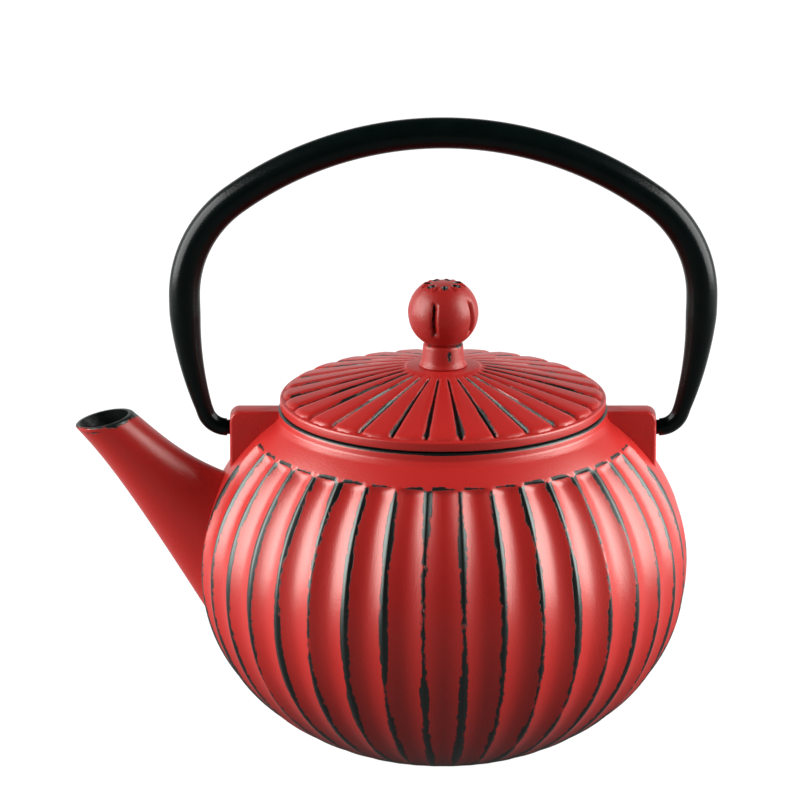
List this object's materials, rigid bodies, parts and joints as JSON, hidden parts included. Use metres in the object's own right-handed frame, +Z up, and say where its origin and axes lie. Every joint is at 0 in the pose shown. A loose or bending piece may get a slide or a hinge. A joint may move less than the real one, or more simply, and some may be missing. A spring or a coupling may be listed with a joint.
{
  "type": "cast iron teapot",
  "caption": "Fluted cast iron teapot with a cast spout, a swinging bail handle, a lift-off lid with a ball knob, and a lift-out tea infuser.",
  "frame": {"origin": "centre of the flat foot, on the pot's axis, in the plane that the pot stands on", "axes": "+Z up, the spout points to -X, the handle turns about an axis along X"},
  "size_m": [0.1834, 0.1396, 0.1832],
  "materials": {
    "enamelled_iron": "satin red paint over black, rubbed to black along the edges",
    "black_steel": "satin black paint on steel",
    "stainless": "brushed stainless sheet and mesh",
    "zinc_steel": "plain steel fastener"
  },
  "bodies": {
    "pot": {"pot_body": "enamelled_iron"},
    "handle": {"handle": "black_steel"},
    "infuser": {"infuser_rim": "stainless", "infuser_wall": "stainless", "infuser_base_ring": "stainless", "infuser_base_mesh": "stainless"},
    "lid": {"lid": "enamelled_iron", "knob": "enamelled_iron", "knob_screw": "zinc_steel", "knob_washer": "zinc_steel"}
  },
  "joints": [
    {"name": "handle_swing", "type": "hinge", "parent": "pot", "child": "handle", "pos_m": [0, 0, 0.0918], "axis": [1, 0, 0], "range_deg": [-120, 120]},
    {"name": "infuser_lift", "type": "slide", "parent": "pot", "child": "infuser", "axis": [0, 0, 1], "range_m": [0, 0.012]},
    {"name": "lid_lift", "type": "slide", "parent": "infuser", "child": "lid", "axis": [0, 0, 1], "range_m": [0, 0.024]}
  ]
}
